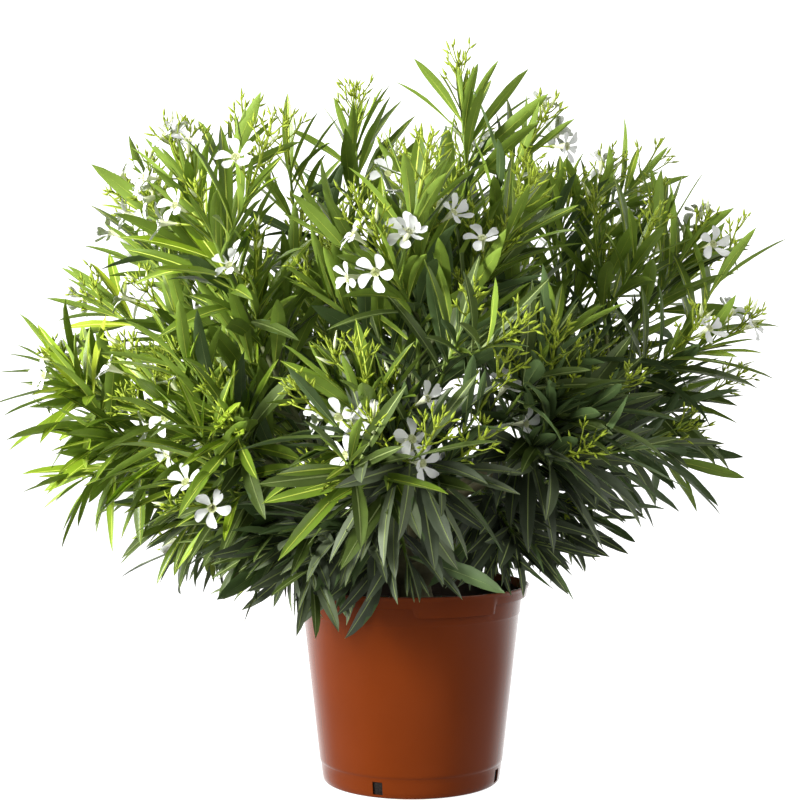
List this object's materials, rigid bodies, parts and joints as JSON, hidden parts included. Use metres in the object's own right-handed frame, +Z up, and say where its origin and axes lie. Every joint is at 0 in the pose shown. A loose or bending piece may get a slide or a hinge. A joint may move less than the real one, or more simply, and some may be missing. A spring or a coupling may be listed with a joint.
{
  "type": "potted oleander",
  "caption": "Bushy white-flowered oleander shrub in a round plastic growing pot; a full dome of whorled lance-shaped leaves on forked boughs that stands on the pot's flat underside.",
  "frame": {"origin": "middle of the pot's flat underside", "axes": "+Z up along the pot's axis, -Y towards the side the picture shows, +X to the right of that view"},
  "size_m": [0.9428, 0.8067, 0.8668],
  "materials": {
    "pot_plastic": "satin terracotta-brown moulded plastic",
    "compost": "dark crumbly compost with fibres and bark chips",
    "bark": "smooth grey-olive bark with fine pores and ring scars",
    "foliage": "leathery green leaves with a pale midrib, and white flowers"
  },
  "bodies": {
    "root": {"pot": "pot_plastic", "compost": "compost", "short_stem": "bark", "bough_front": "bark", "bough_front_right": "bark", "bough_right": "bark", "bough_back_right": "bark", "bough_back": "bark", "bough_back_left": "bark", "bough_left": "bark", "bough_front_left": "bark", "foliage_front_low": "foliage", "foliage_front_mid": "foliage", "foliage_front_high": "foliage", "foliage_front_right_low": "foliage", "foliage_front_right_mid": "foliage", "foliage_front_right_high": "foliage", "foliage_right_low": "foliage", "foliage_right_mid": "foliage", "foliage_right_high": "foliage", "foliage_back_right_low": "foliage", "foliage_back_right_mid": "foliage", "foliage_back_right_high": "foliage", "foliage_back_low": "foliage", "foliage_back_mid": "foliage", "foliage_back_high": "foliage", "foliage_back_left_low": "foliage", "foliage_back_left_mid": "foliage", "foliage_back_left_high": "foliage", "foliage_left_low": "foliage", "foliage_left_mid": "foliage", "foliage_left_high": "foliage", "foliage_front_left_low": "foliage", "foliage_front_left_mid": "foliage", "foliage_front_left_high": "foliage"}
  },
  "joints": []
}
